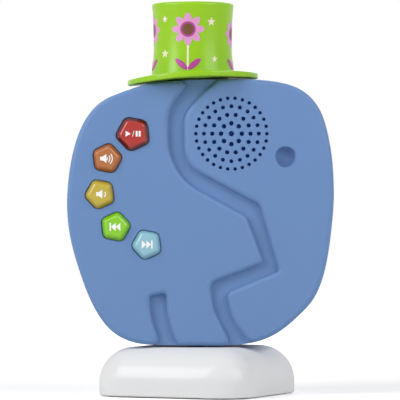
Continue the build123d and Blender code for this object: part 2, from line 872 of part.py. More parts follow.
# Speaker magnet
with BuildPart() as speaker_magnet:
    with BuildSketch(speaker_plane(basket_back)):
        Circle(magnet_diameter / 2)
    extrude(amount=-magnet_thick)
    chamfer(speaker_magnet.faces().sort_by(Axis.Y)[-1].edges(), length=basket_wall)
finish(speaker_magnet, "speaker_magnet")

# Rubber roll that carries the cone
with BuildPart() as speaker_surround:
    roll_middle = (rim_radius + cone_radius) / 2
    with BuildSketch(speaker_section):
        with BuildLine():
            ThreePointArc(
                (cone_radius, basket_front + cone_thick),
                (roll_middle, basket_front + cone_thick + surround_width / 2),
                (rim_radius, basket_front + cone_thick),
            )
            Polyline(
                (rim_radius, basket_front + cone_thick),
                (rim_radius + surround_foot, basket_front + cone_thick),
                (rim_radius + surround_foot, basket_front),
                (rim_radius - cone_thick, basket_front),
            )
            ThreePointArc(
                (rim_radius - cone_thick, basket_front),
                (roll_middle, basket_front + surround_width / 2),
                (cone_radius + cone_thick, basket_front),
            )
            Polyline(
                (cone_radius + cone_thick, basket_front),
                (cone_radius - surround_foot, basket_front),
                (cone_radius - surround_foot, basket_front + cone_thick),
                (cone_radius, basket_front + cone_thick),
            )
        make_face()
    revolve(axis=speaker_axis)
finish(speaker_surround, "speaker_surround")

# Paper cone with its dust cap
with BuildPart() as speaker_cone:
    throat = cone_throat_diameter / 2
    throat_level = basket_front - cone_drop_share * basket_depth
    dome_level = throat_level + cone_thick + throat / 2
    with BuildSketch(speaker_section):
        with BuildLine():
            Polyline(
                (0, throat_level),
                (throat, throat_level),
                (cone_radius - surround_foot + cone_thick, basket_front - cone_thick),
                (cone_radius, basket_front - cone_thick),
                (cone_radius, basket_front),
                (cone_radius - surround_foot, basket_front),
                (throat, throat_level + cone_thick),
            )
            TangentArc((0, dome_level), (throat, throat_level + cone_thick), tangent=(1, 0))
            Line((0, dome_level), (0, throat_level))
        make_face()
    revolve(axis=speaker_axis)
finish(speaker_cone, "speaker_cone")

# Screws whose wide heads clamp the basket
with BuildPart() as speaker_screws:
    with BuildSketch(speaker_plane(flange_back)):
        with PolarLocations(speaker_screw_circle / 2, speaker_screw_count, speaker_screw_turn):
            Circle(speaker_screw_head / 2)
    extrude(amount=-board_screw_diameter * head_height_share)
    with BuildSketch(speaker_plane(flange_back)):
        with PolarLocations(speaker_screw_circle / 2, speaker_screw_count, speaker_screw_turn):
            Circle(board_screw_diameter / 2)
    extrude(amount=speaker_screw_length - fit_gap)
finish(speaker_screws, "speaker_screws")

# Button caps, each with a head of wide sloped sides, a retaining flange and a stem
for place, name in enumerate(button_names):
    radius = button_radii[place]
    with BuildPart() as cap:
        with BuildSketch(button_plane(place, cap_flange_back)) as cap_outline:
            RegularPolygon(radius, button_sides)
            fillet(cap_outline.vertices(), radius=radius * button_corner_share)
        extrude(amount=half_depth - cap_flange_back)
        with BuildSketch(button_plane(place, half_depth)) as head_outline:
            RegularPolygon(radius, button_sides)
            fillet(head_outline.vertices(), radius=radius * button_corner_share)
        extrude(amount=button_rise, taper=button_drafts[place])
        head_edges = cap.faces().sort_by(Axis.Y)[0].edges()
        fillet(head_edges, radius=button_rise * button_edge_share)
        with BuildSketch(button_plane(place, cap_flange_back)) as cap_flange:
            RegularPolygon(radius + button_gap + button_flange, button_sides)
            fillet(cap_flange.vertices(), radius=radius * button_corner_share)
        extrude(amount=button_flange_thick)
        with BuildSketch(button_plane(place, cap_flange_back)):
            Circle(button_stem_diameter / 2)
        extrude(amount=-button_stem_length)
    finish(cap, name + "_cap")
    with BuildPart() as plunger:
        with BuildSketch(button_plane(place, plunger_front)):
            Circle(plunger_diameter / 2)
        extrude(amount=-plunger_length)
    finish(plunger, name + "_plunger")

# Switch housings under the buttons
with BuildPart() as tact_switches:
    for place in range(len(button_names)):
        with BuildSketch(button_plane(place, button_board_front)):
            Rectangle(switch_side, switch_side)
        extrude(amount=switch_height)
        with BuildSketch(button_plane(place, button_board_front + switch_floor)):
            Circle(plunger_diameter / 2 + lift_gap)
        extrude(amount=switch_height - switch_floor, mode=Mode.SUBTRACT)
finish(tact_switches, "tact_switches")

# Curved board that follows the arc of the buttons
with BuildPart() as button_board:
    with BuildSketch(arc_plane(button_board_front)):
        board_start = button_start - button_step / 2
        board_end = button_start + (len(button_names) - 1 / 2) * button_step
        with BuildLine():
            outer_arc = CenterArc((0, 0), button_board_outer, board_start, board_end - board_start)
            inner_arc = CenterArc((0, 0), button_board_inner, board_start, board_end - board_start)
            Line(outer_arc @ 0, inner_arc @ 0)
            Line(outer_arc @ 1, inner_arc @ 1)
        make_face()
        with Locations(*button_post_places):
            Circle(board_screw_diameter / 2 + fit_gap, mode=Mode.SUBTRACT)
    extrude(amount=-board_thick)
finish(button_board, "button_board")

# Screws of the button board
with BuildPart() as button_board_screws:
    with BuildSketch(arc_plane(button_board_front - board_thick)):
        with Locations(*button_post_places):
            Circle(board_screw_diameter * head_width_share / 2)
    extrude(amount=-board_screw_diameter * head_height_share)
    with BuildSketch(arc_plane(button_board_front - board_thick)):
        with Locations(*button_post_places):
            Circle(board_screw_diameter / 2)
    extrude(amount=board_thick + board_screw_length - fit_gap)
finish(button_board_screws, "button_board_screws")

# Main board on four standoffs of the rear half
with BuildPart() as main_board:
    with BuildSketch(facing(main_board_back)):
        with Locations(main_board_middle):
            RectangleRounded(main_board_width, main_board_height, main_board_corner)
            with GridLocations(2 * standoff_x, 2 * standoff_z, 2, 2):
                Circle(board_screw_diameter / 2 + fit_gap, mode=Mode.SUBTRACT)
    extrude(amount=board_thick)
finish(main_board, "main_board")

# Chips on the main board
with BuildPart() as main_board_parts:
    with BuildSketch(facing(main_board_front)):
        for x, z, width, height in chip_shares:
            chip_x = main_board_middle[0] + x * main_board_width
            chip_z = main_board_middle[1] + z * main_board_height
            with Locations((chip_x, chip_z)):
                Rectangle(width * main_board_width, height * main_board_height)
    extrude(amount=chip_thick)
finish(main_board_parts, "main_board_parts")

# Screws of the main board
with BuildPart() as main_board_screws:
    with BuildSketch(facing(main_board_front)):
        with Locations(main_board_middle):
            with GridLocations(2 * standoff_x, 2 * standoff_z, 2, 2):
                Circle(board_screw_diameter * head_width_share / 2)
    extrude(amount=board_screw_diameter * head_height_share)
    with BuildSketch(facing(main_board_front)):
        with Locations(main_board_middle):
            with GridLocations(2 * standoff_x, 2 * standoff_z, 2, 2):
                Circle(board_screw_diameter / 2)
    extrude(amount=fit_gap - board_thick - main_board_lift)
finish(main_board_screws, "main_board_screws")

# Charging socket on the back of the main board, its mouth in the rear half's slot
with BuildPart() as usb_socket:
    usb_length = half_depth - usb_sink + main_board_back
    with BuildSketch(facing(main_board_back)):
        with Locations(spot(usb_share)):
            SlotOverall(usb_width, usb_height)
    extrude(amount=-usb_length)
    with BuildSketch(facing(main_board_back - usb_length)):
        with Locations(spot(usb_share)):
            SlotOverall(usb_width - 2 * usb_wall, usb_height - 2 * usb_wall)
            Rectangle(usb_tongue_share * usb_width, 2 * usb_wall, mode=Mode.SUBTRACT)
    extrude(amount=usb_depth_share * usb_length, mode=Mode.SUBTRACT)
finish(usb_socket, "usb_socket")

# Trough that holds the cell against the rear half
with BuildPart() as battery_cradle:
    with BuildSketch(battery_plane(-cradle_share * battery_length / 2)):
        Rectangle(
            cradle_floor + battery_diameter / 2,
            battery_diameter + 2 * cradle_wall,
            align=(Align.MIN, Align.CENTER),
        )
        Circle(battery_diameter / 2 + thread_gap, mode=Mode.SUBTRACT)
    extrude(amount=cradle_share * battery_length)
finish(battery_cradle, "battery_cradle")

# Cell with its raised terminal
with BuildPart() as battery_cell:
    with BuildSketch(battery_plane(-battery_length / 2)):
        Circle(battery_diameter / 2)
    extrude(amount=battery_length)
    fillet(battery_cell.edges().filter_by(GeomType.CIRCLE), radius=cradle_floor)
    with BuildSketch(battery_plane(battery_length / 2)):
        Circle(battery_tip_diameter / 2)
    extrude(amount=battery_tip_length)
finish(battery_cell, "battery_cell")

# Arched brim that follows the top of the head
with BuildPart() as hat_brim:
    reach = brim_reach_share * brim_diameter / 2
    with BuildSketch(facing(0)):
        with BuildLine():
            under = ThreePointArc(
                (hat_x - reach, hat_seat - brim_left_drop),
                (hat_x, hat_seat),
                (hat_x + reach, hat_seat - brim_right_drop),
            )
            over = ThreePointArc(
                (hat_x - reach, hat_seat - brim_left_drop + brim_thick),
                (hat_x, hat_seat + brim_thick),
                (hat_x + reach, hat_seat - brim_right_drop + brim_thick),
            )
            Line(under @ 0, over @ 0)
            Line(under @ 1, over @ 1)
        make_face()
    extrude(amount=reach, both=True)
    with BuildSketch(hat_level(hat_seat - brim_left_drop - cut_margin)):
        Circle(brim_diameter / 2)
    extrude(amount=brim_left_drop + brim_thick + 2 * cut_margin, mode=Mode.INTERSECT)
    brim_rim = hat_brim.faces().sort_by(SortBy.AREA)[:-2]
    fillet(brim_rim.edges().filter_by(Axis.Z, reverse=True), radius=brim_round)

# Hat: waisted crown on the brim, open below for the plug
with BuildPart() as hat_shell:
    crown_foot = hat_seat + crown_root
    crown_middle = (crown_foot + hat_top) / 2
    with BuildSketch(facing(0)):
        with BuildLine():
            Polyline(
                (hat_x + crown_top_diameter / 2, hat_top),
                (hat_x, hat_top),
                (hat_x, crown_foot),
                (hat_x + crown_foot_diameter / 2, crown_foot),
            )
            ThreePointArc(
                (hat_x + crown_foot_diameter / 2, crown_foot),
                (hat_x + crown_waist_diameter / 2, crown_middle),
                (hat_x + crown_top_diameter / 2, hat_top),
            )
        make_face()
    revolve(axis=hat_axis)
    fillet(hat_shell.faces().sort_by(Axis.Z)[-1].edges(), radius=crown_edge_round)
    add(hat_brim.part)
    with BuildSketch(hat_level(hat_seat)):
        Circle(crown_waist_diameter / 2 - crown_wall)
    extrude(amount=crown_height - crown_wall, mode=Mode.SUBTRACT)
    with BuildSketch(hat_level(hat_seat - cut_margin)):
        Circle(plug_diameter / 2 + fit_gap)
    extrude(amount=cut_margin + plug_thick, mode=Mode.SUBTRACT)
finish(hat_shell, "hat_shell")

# Plug that closes the crown, with the spigot that stands in the head
with BuildPart() as hat_plug:
    with BuildSketch(hat_level(hat_seat)):
        Circle(plug_diameter / 2)
    extrude(amount=plug_thick)
    with BuildSketch(hat_level(spigot_bottom)):
        Circle(spigot_diameter / 2)
    extrude(amount=hat_seat - spigot_bottom)
    chamfer(hat_plug.faces().sort_by(Axis.Z)[0].edges(), length=spigot_bevel)
    with BuildSketch(hat_level(spigot_bottom + magnet_cover)):
        with GridLocations(0, hat_magnet_spread, 1, 2):
            Circle(hat_magnet_diameter / 2 + thread_gap)
    extrude(amount=hat_seat + plug_thick - spigot_bottom, mode=Mode.SUBTRACT)
finish(hat_plug, "hat_plug")

# Magnets in the spigot and the tag on the plug
with BuildPart() as hat_magnets:
    with BuildSketch(hat_level(spigot_bottom + magnet_cover)):
        with GridLocations(0, hat_magnet_spread, 1, 2):
            Circle(hat_magnet_diameter / 2)
    extrude(amount=hat_magnet_thick)
finish(hat_magnets, "hat_magnets")

with BuildPart() as story_tag:
    with BuildSketch(hat_level(hat_seat + plug_thick)):
        Circle(tag_diameter / 2)
    extrude(amount=tag_thick)
finish(story_tag, "story_tag")
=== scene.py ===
import json
import math
import bmesh
import bpy
from mathutils import Matrix, Vector


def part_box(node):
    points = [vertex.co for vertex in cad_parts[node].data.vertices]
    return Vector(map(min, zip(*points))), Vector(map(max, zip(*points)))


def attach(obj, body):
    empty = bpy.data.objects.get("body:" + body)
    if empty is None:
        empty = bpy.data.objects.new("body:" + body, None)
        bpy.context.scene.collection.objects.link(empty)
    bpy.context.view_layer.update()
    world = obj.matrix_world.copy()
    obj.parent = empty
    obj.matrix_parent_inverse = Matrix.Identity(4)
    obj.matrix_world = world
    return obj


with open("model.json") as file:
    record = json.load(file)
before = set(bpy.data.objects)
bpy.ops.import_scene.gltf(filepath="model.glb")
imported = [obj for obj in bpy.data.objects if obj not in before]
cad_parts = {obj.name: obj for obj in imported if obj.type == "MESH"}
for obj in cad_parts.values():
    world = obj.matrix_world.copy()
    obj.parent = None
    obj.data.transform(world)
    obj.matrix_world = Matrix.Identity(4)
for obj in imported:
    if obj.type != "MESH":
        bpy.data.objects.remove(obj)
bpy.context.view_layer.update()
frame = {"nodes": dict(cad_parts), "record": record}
solids = frame["nodes"]

# Lengths are metres, in the frame of the solids, and MM is one millimetre.
MM = 0.001
MICRON = 0.001 * MM

# Sockets of the colour mix node: its two colours and its result
MIX_A, MIX_B, MIX_RESULT = 6, 7, 2

# Surfaces: how far the grain swings the roughness, how strongly it shows as relief, and how finely noise divides
GRAIN_SWING = (0.88, 1.12)
GRAIN_RELIEF = 0.4
GRAIN_DETAIL = 3.0
PATCH_DETAIL = 2.0

# Caps: painted shade darkens the colour from just behind the front, and is at its full depth at the end of the
# skirt
SKIRT_SHADE_START = 0.3 * MM
SKIRT_SHADE_END = 2.4 * MM
PLAY_SKIRT_SHADE_END = 1.5 * MM
CAP_ROUGHNESS = 0.14
CAP_SWING = (0.85, 1.15)
CAP_GRAIN = 0.5 * MM

# Cloth: how far a thread rises as a share of the pitch, and how strongly that shows
THREAD_RISE = 0.2
THREAD_RELIEF = 0.6
# Width of one band of the wave texture at scale 1
WAVE_BAND = 2 * math.pi / 20

# Printed ink on the buttons and the hat
INK_THICK = 0.06 * MM
INK_GAP = 0.01 * MM
INK_LAYER = 0.05 * MM
INK_GRAIN = {"grain_mm": 0.3, "grain_um": 2.0, "patch_mm": 3.0}

# Signs on the buttons: sizes, and places across from the middle of the sign
KEYS = ["play", "volume_up", "volume_down", "previous", "next"]
PLAY_TALL = 3.0 * MM
PLAY_WIDE = 2.8 * MM
PLAY_AT = -2.7 * MM
SLASH_WIDE = 0.35 * MM
SLASH_LEAN = 0.7 * MM
SLASH_AT = -0.35 * MM
PAUSE_BAR = 1.05 * MM
PAUSE_AT = (1.8 * MM, 3.4 * MM)
HORN_BOX = (1.5 * MM, 2.1 * MM)
HORN_DEEP = 1.8 * MM
HORN_TALL = 4.9 * MM
LOUD_HORN_AT = -2.8 * MM
LOUD_WAVES_AT = -0.9 * MM
LOUD_RADII = (1.2 * MM, 2.5 * MM, 3.8 * MM)
SOFT_HORN_AT = -1.3 * MM
SOFT_WAVE_AT = 0.9 * MM
SOFT_RADIUS = 2.0 * MM
WAVE_LINE = 0.5 * MM
WAVE_HALF_ANGLE = 0.75
WAVE_STEPS = 14
SKIP_TALL = 4.3 * MM
SKIP_WIDE = 2.5 * MM
SKIP_AT = (1.0 * MM, -1.5 * MM)
SKIP_BAR = 0.8 * MM
SKIP_BAR_AT = 2.65 * MM

# Motifs of the hat's print: turn round the crown in degrees, height over the brim in millimetres, size
FLOWERS = [(-7, 26.0, 1.0), (78, 24.0, 0.9), (150, 26.0, 1.0), (-142, 24.0, 0.9), (-80, 26.0, 0.95)]
STARS = [
    (28, 30.0, 1.0), (33, 10.0, 0.8), (-44, 31.5, 0.8), (-44, 13.0, 1.0), (112, 32.0, 0.9),
    (115, 12.0, 1.0), (-176, 31.0, 0.8), (-176, 11.0, 1.0), (-110, 31.0, 0.9), (-112, 11.0, 0.8),
]
PETAL_COUNT = 8
PETAL_SIZE = (4.0 * MM, 6.6 * MM)
PETAL_REACH = 5.4 * MM
RING_SIZE = 8.4 * MM
HEART_SIZE = 6.4 * MM
STEM_WIDE = 1.1 * MM
STEM_FOOT = 4.2 * MM
LEAF_SIZE = (3.2 * MM, 8.6 * MM)
LEAF_REACH = 4.6 * MM
LEAF_LEAN = 0.85
STAR_SIZE = 5.0 * MM
STAR_POINTS = 5
STAR_WAIST = 0.45
DISC_CORNERS = 24
PRINT_CUTS = 3
STEM_CUTS = 12
CROWN_TALL = 40.9 * MM
# The motifs are drawn flat this far in front of the brim, and then pressed on to the crown.
PRINT_STANDOFF = 5.0 * MM

# Studio: the camera stands level in front of the face
CAMERA_PLACE = Vector((1.4, -1870.0, 105.0)) * MM
PICTURE_WIDTH = 216.0 * MM
SENSOR = 36.0
AIM = Vector((0.0, 0.0, 100.0)) * MM
# Soft boxes: azimuth to the right of the camera and elevation in degrees, distance and size in metres, watts
SOFTBOXES = {
    "left_softbox": (-57, 28, 1.0, (0.4, 0.6), 6.4),
    "right_softbox": (54, 28, 1.0, (0.6, 0.6), 5.55),
    "top_softbox": (-38, 52, 1.2, (0.24, 0.2), 1.1),
    "back_softbox": (180, 35, 1.3, (1.0, 0.8), 6.5),
}
# Light from all round, as it falls on the object and as it is seen
WHITE = "ffffff"
FILL_LIGHT = 0.1
SEEN_LIGHT = 1.0
# The floor's paper, and its glow near the object and far from it, where there is no shadow to keep
FLOOR_SIZE = 8.0
PAPER = "e8e8e8"
GLOW_NEAR, GLOW_FAR = 0.4, 0.93
NEAR, FAR = 0.3, 0.9


def linear(hex_colour):
    """Linear RGBA of an sRGB hex colour."""
    values = []
    for start in (0, 2, 4):
        level = int(hex_colour[start:start + 2], 16) / 255
        values.append(level / 12.92 if level <= 0.04045 else ((level + 0.055) / 1.055) ** 2.4)
    return (*values, 1.0)


def add_node(tree, kind, inputs=None, **settings):
    """Add a node with its settings; inputs maps a socket to a value or to the output that feeds it."""
    node = tree.nodes.new(kind)
    for name, value in settings.items():
        setattr(node, name, value)
    for socket, value in (inputs or {}).items():
        if isinstance(value, bpy.types.NodeSocket):
            tree.links.new(value, node.inputs[socket])
        else:
            node.inputs[socket].default_value = value
    return node


def new_material(name):
    """An empty node material and its tree."""
    material = bpy.data.materials.new(name)
    material.use_nodes = True
    material.node_tree.nodes.clear()
    return material, material.node_tree


def moulded(name, base, shade, roughness, grain_mm=0.4, grain_um=4.0, patch_mm=24.0, **shader):
    """A moulded, plated or printed surface: soft colour patches, and a fine grain in its gloss and relief."""
    material, tree = new_material(name)
    place = add_node(tree, "ShaderNodeTexCoord").outputs["Object"]
    patches = add_node(tree, "ShaderNodeTexNoise",
                       {"Vector": place, "Scale": 1 / (patch_mm * MM), "Detail": PATCH_DETAIL})
    colour = add_node(tree, "ShaderNodeMix",
                      {0: patches.outputs[0], MIX_A: linear(base), MIX_B: linear(shade)}, data_type="RGBA")
    grain = add_node(tree, "ShaderNodeTexNoise",
                     {"Vector": place, "Scale": 1 / (grain_mm * MM), "Detail": GRAIN_DETAIL})
    gloss = add_node(tree, "ShaderNodeMapRange",
                     {"Value": grain.outputs[0],
                      "To Min": roughness * GRAIN_SWING[0], "To Max": roughness * GRAIN_SWING[1]})
    relief = add_node(tree, "ShaderNodeBump",
                      {"Height": grain.outputs[0], "Strength": GRAIN_RELIEF, "Distance": grain_um * MICRON})
    sockets = {"Base Color": colour.outputs[MIX_RESULT], "Roughness": gloss.outputs[0],
               "Normal": relief.outputs[0]}
    surface = add_node(tree, "ShaderNodeBsdfPrincipled", {**sockets, **shader})
    add_node(tree, "ShaderNodeOutputMaterial", {"Surface": surface.outputs[0]})
    return material


def skirt_shaded(name, top, skirt_shade, front, end, **shader):
    """A cap with painted shade: its colour sinks from its top to a darker skirt, which ends at a depth behind
    its front.
    """
    material, tree = new_material(name)
    place = add_node(tree, "ShaderNodeTexCoord").outputs["Object"]
    axes = add_node(tree, "ShaderNodeSeparateXYZ", {0: place})
    # Painted shade: the colour darkens with depth behind the cap's front, down its sloped sides
    painted_shade = add_node(tree, "ShaderNodeMapRange",
                    {"Value": axes.outputs["Y"], "From Min": front + SKIRT_SHADE_START, "From Max": front + end},
                    interpolation_type="SMOOTHSTEP")
    colour = add_node(tree, "ShaderNodeMix",
                      {0: painted_shade.outputs[0], MIX_A: linear(top), MIX_B: linear(skirt_shade)}, data_type="RGBA")
    grain = add_node(tree, "ShaderNodeTexNoise",
                     {"Vector": place, "Scale": 1 / CAP_GRAIN, "Detail": PATCH_DETAIL})
    gloss = add_node(tree, "ShaderNodeMapRange",
                     {"Value": grain.outputs[0],
                      "To Min": CAP_ROUGHNESS * CAP_SWING[0], "To Max": CAP_ROUGHNESS * CAP_SWING[1]})
    sockets = {"Base Color": colour.outputs[MIX_RESULT], "Roughness": gloss.outputs[0]}
    surface = add_node(tree, "ShaderNodeBsdfPrincipled", {**sockets, **shader})
    add_node(tree, "ShaderNodeOutputMaterial", {"Surface": surface.outputs[0]})
    return material


def woven(name, thread, gap, pitch_mm, roughness):
    """Cloth of two crossing threads, pitch_mm apart, with darker gaps between them."""
    material, tree = new_material(name)
    place = add_node(tree, "ShaderNodeTexCoord").outputs["Object"]
    scale = WAVE_BAND / (pitch_mm * MM)
    warp = add_node(tree, "ShaderNodeTexWave", {"Vector": place, "Scale": scale}, bands_direction="X")
    weft = add_node(tree, "ShaderNodeTexWave", {"Vector": place, "Scale": scale}, bands_direction="Z")
    cross = add_node(tree, "ShaderNodeMath",
                     {0: warp.outputs["Fac"], 1: weft.outputs["Fac"]}, operation="MAXIMUM")
    colour = add_node(tree, "ShaderNodeMix",
                      {0: cross.outputs[0], MIX_A: linear(gap), MIX_B: linear(thread)}, data_type="RGBA")
    relief = add_node(tree, "ShaderNodeBump",
                      {"Height": cross.outputs[0], "Strength": THREAD_RELIEF,
                       "Distance": THREAD_RISE * pitch_mm * MM})
    sockets = {"Base Color": colour.outputs[MIX_RESULT], "Normal": relief.outputs[0], "Roughness": roughness}
    surface = add_node(tree, "ShaderNodeBsdfPrincipled", sockets)
    add_node(tree, "ShaderNodeOutputMaterial", {"Surface": surface.outputs[0]})
    return material


def make_finishes():
    """One material for each of the record's slots, named for what the real piece is made of."""
    cap_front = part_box("play_cap")[0].y
    satin = {"IOR": 1.5, "Specular IOR Level": 0.25}
    vinyl = {"IOR": 1.5, "Specular IOR Level": 0.36}
    gel = {"IOR": 1.5, "Specular IOR Level": 0.05, "Coat Weight": 0.9, "Coat Roughness": 0.1}
    # A small share of a strong skin mirrors the lamps clearly, and hardly mirrors at a low angle,
    # so the slit between stand and player stays dark.
    polish = {"Specular IOR Level": 0.0, "Coat IOR": 2.2, "Coat Weight": 0.1, "Coat Roughness": 0.16}
    metal = {"Metallic": 1.0}
    finishes = {
        # Moulded ABS with a spark grain: an even blue with a soft, wide sheen. A real spark grain
        # is about 0.1 mm wide, and this one is drawn coarser so that it shows.
        "player_blue": moulded("satin_blue_abs", "6d8ebf", "6a8bbc", 0.48,
                               grain_mm=0.35, grain_um=5.0, patch_mm=40.0, **satin),
        # Polished ABS: bright white with a clear, slightly soft band of light along its shoulder
        "stand_white": moulded("polished_white_abs", "eaeaea", "e7e7e8", 0.22,
                               grain_mm=0.6, grain_um=1.5, patch_mm=40.0, **polish),
        # Moulded acetal: waxy whites, one cool and one warm, with a dull gloss
        "post_white": moulded("white_acetal", "e4e4e4", "dedede", 0.35, IOR=1.48),
        "bush_acetal": moulded("natural_acetal", "e0dfd8", "d8d7cf", 0.4, IOR=1.48),
        # Moulded soft vinyl: a lively yellow-green with broad, soft bands of light
        "hat_green": moulded("green_vinyl", "97cc18", "93c816", 0.3,
                             grain_mm=0.5, grain_um=3.0, patch_mm=30.0, **vinyl),
        # Clear-coated polycarbonate: deep colours with painted shade down the sloped sides, under a sharp gloss
        "play_red": skirt_shaded("red_polycarbonate", "b12a22", "54161e", cap_front, PLAY_SKIRT_SHADE_END, **gel),
        "volume_up_orange": skirt_shaded("orange_polycarbonate", "b56c33", "8c4c1e", cap_front, SKIRT_SHADE_END, **gel),
        "volume_down_yellow": skirt_shaded("yellow_polycarbonate", "c4ad3c", "947e22", cap_front, SKIRT_SHADE_END, **gel),
        "previous_green": skirt_shaded("green_polycarbonate", "89cf1e", "60a20a", cap_front, SKIRT_SHADE_END, **gel),
        "next_blue": skirt_shaded("light_blue_polycarbonate", "91c2d2", "6c9fb4", cap_front, SKIRT_SHADE_END, **gel),
        # Woven polyester: a blue cloth that lies in the dark behind the grille's holes
        "grille_fabric": woven("grille_polyester", "386cb8", "264f94", pitch_mm=0.35, roughness=0.9),
        # Moulded silicone: near black and almost without gloss
        "pad_rubber": moulded("silicone_rubber", "2b2b2d", "252527", 0.75, grain_mm=0.3, grain_um=12.0),
        # Closed-cell foam: a dull dark grey with small pits
        "gasket_foam": moulded("closed_cell_foam", "38393c", "2b2c2f", 0.95,
                               grain_mm=0.5, grain_um=60.0, patch_mm=2.0),
        # Moulded butyl rubber: black with a weak sheen
        "surround_rubber": moulded("butyl_rubber", "1d1e20", "17181a", 0.6, grain_mm=0.3, grain_um=6.0),
        # Pressed paper pulp: dark and dull, with a grain of fibres
        "cone_paper": moulded("pulp_paper", "303236", "26282c", 0.9,
                              grain_mm=0.6, grain_um=40.0, patch_mm=3.0),
        # Moulded ABS and epoxy: plain blacks with half a gloss
        "inner_black": moulded("black_abs", "2a2b2e", "242528", 0.5),
        "chip_black": moulded("moulded_epoxy", "1b1c1e", "161719", 0.55),
        # Solder mask over copper: a glossy green of uneven depth
        "board_green": moulded("solder_mask", "1f6b3c", "1a5e34", 0.35,
                               grain_mm=0.8, grain_um=6.0, patch_mm=5.0),
        # Shrunk sleeve and cast film: smooth skins with a clear gloss, one green and one white
        "cell_wrap": moulded("shrink_sleeve", "3f7f57", "3a7650", 0.3),
        "tag_white": moulded("polyester_film", "ececec", "e4e4e4", 0.3),
        # Dip paint on pressed steel: black with a thick, soft gloss
        "basket_metal": moulded("black_dip_paint", "232427", "1d1e20", 0.4),
        # Sintered ferrite: a dull dark grey with a fine grit
        "magnet_ferrite": moulded("sintered_ferrite", "3a3b3e", "303134", 0.7, grain_mm=0.4, grain_um=20.0),
        # Rolled steel: a mid grey metal with a blurred mirror
        "ballast_steel": moulded("rolled_steel", "9a9da1", "8b8e92", 0.4,
                                 grain_mm=0.3, grain_um=5.0, patch_mm=10.0, **metal),
        # Zinc and nickel plate: paler metals with a clearer mirror, the magnets the clearest
        "screw_steel": moulded("zinc_plate", "b4b6b9", "a6a9ad", 0.3,
                               grain_mm=0.3, grain_um=3.0, patch_mm=4.0, **metal),
        "socket_steel": moulded("nickel_shell", "c2c4c7", "b5b7bb", 0.25,
                                grain_mm=0.3, grain_um=2.0, patch_mm=4.0, **metal),
        "magnet_nickel": moulded("nickel_plate", "c9cacc", "c0c1c4", 0.15,
                                 grain_mm=0.3, grain_um=1.0, patch_mm=4.0, **metal),
    }
    for row in frame["record"]["subparts"]:
        solids[row["node"]].material_slots[0].material = finishes[row["material_slot"]]


def settle():
    """Take the place, turn and scale of what is selected into its mesh."""
    bpy.ops.object.transform_apply(location=True, rotation=True, scale=True)


def flat_plate(width, height, across, front, up):
    """A plate that faces the front, at its size and place, on its own."""
    bpy.ops.object.select_all(action="DESELECT")
    bpy.ops.mesh.primitive_plane_add(size=1, location=(across, front, up), rotation=(math.pi / 2, 0, 0))
    plate = bpy.context.object
    plate.scale = (width, height, 1)
    settle()
    return plate


def choose(piece, test):
    """Open a piece for editing with only the corners that pass the test selected."""
    bpy.context.view_layer.objects.active = piece
    bpy.ops.object.mode_set(mode="EDIT")
    bpy.ops.mesh.select_all(action="DESELECT")
    mesh = bmesh.from_edit_mesh(piece.data)
    for corner in mesh.verts:
        corner.select_set(test(corner.co))
    mesh.select_flush(True)
    bmesh.update_edit_mesh(piece.data)


def close_edit():
    """Leave the editing that choose opened."""
    bpy.ops.object.mode_set(mode="OBJECT")


def cut_up(piece, cuts):
    """Divide a flat piece so that it can follow the crown."""
    choose(piece, lambda corner: True)
    bpy.ops.mesh.subdivide(number_cuts=cuts)
    close_edit()


def join(parts, name):
    """Parts as one named piece."""
    bpy.ops.object.select_all(action="DESELECT")
    for part in parts:
        part.select_set(True)
    bpy.context.view_layer.objects.active = parts[0]
    if len(parts) > 1:
        bpy.ops.object.join()
    piece = bpy.context.object
    piece.name = name
    piece.data.name = name
    return piece


def thicken(piece):
    """Give a sheet of ink its thickness, outwards from where it lies."""
    wall = piece.modifiers.new("ink", "SOLIDIFY")
    wall.thickness = INK_THICK
    wall.offset = 1
    bpy.context.view_layer.objects.active = piece
    bpy.ops.object.modifier_apply(modifier=wall.name)


def ink_triangle(width, height, across, front, up, points):
    """A triangle that points to the right (1) or to the left (-1)."""
    plate = flat_plate(width, height, across, front, up)
    choose(plate, lambda corner: (corner.x - across) * points > 0)
    bpy.ops.mesh.merge(type="CENTER")
    close_edit()
    return plate


def ink_slash(across, front, up):
    """A bar whose top leans to the right."""
    plate = flat_plate(SLASH_WIDE, PLAY_TALL, across, front, up)
    choose(plate, lambda corner: corner.z > up)
    bpy.ops.transform.translate(value=(SLASH_LEAN, 0, 0))
    close_edit()
    return plate


def ink_horn(across, front, up):
    """The outline of a loudspeaker: a box with a horn that widens to the right."""
    plate = flat_plate(*HORN_BOX, across, front, up)
    choose(plate, lambda corner: corner.x > across)
    bpy.ops.mesh.extrude_region_move(TRANSFORM_OT_translate={"value": (HORN_DEEP, 0, 0)})
    bpy.ops.transform.resize(value=(1, 1, HORN_TALL / HORN_BOX[1]), center_override=(across, front, up))
    close_edit()
    return plate


def ink_wave(radius, across, front, up):
    """A sound wave: an arc round a point, open to the left."""
    plate = flat_plate(WAVE_LINE, WAVE_LINE, radius, 0, 0)
    choose(plate, lambda corner: corner.z > 0)
    bpy.ops.mesh.delete(type="VERT")
    close_edit()
    turned = Matrix.Rotation(WAVE_HALF_ANGLE, 4, "Y")
    plate.matrix_world = Matrix.Translation((across, front, up)) @ turned
    settle()
    choose(plate, lambda corner: True)
    bpy.ops.mesh.spin(steps=WAVE_STEPS, angle=2 * WAVE_HALF_ANGLE, center=(across, front, up), axis=(0, 1, 0))
    bpy.ops.mesh.select_all(action="SELECT")
    bpy.ops.mesh.normals_make_consistent(inside=False)
    close_edit()
    return plate


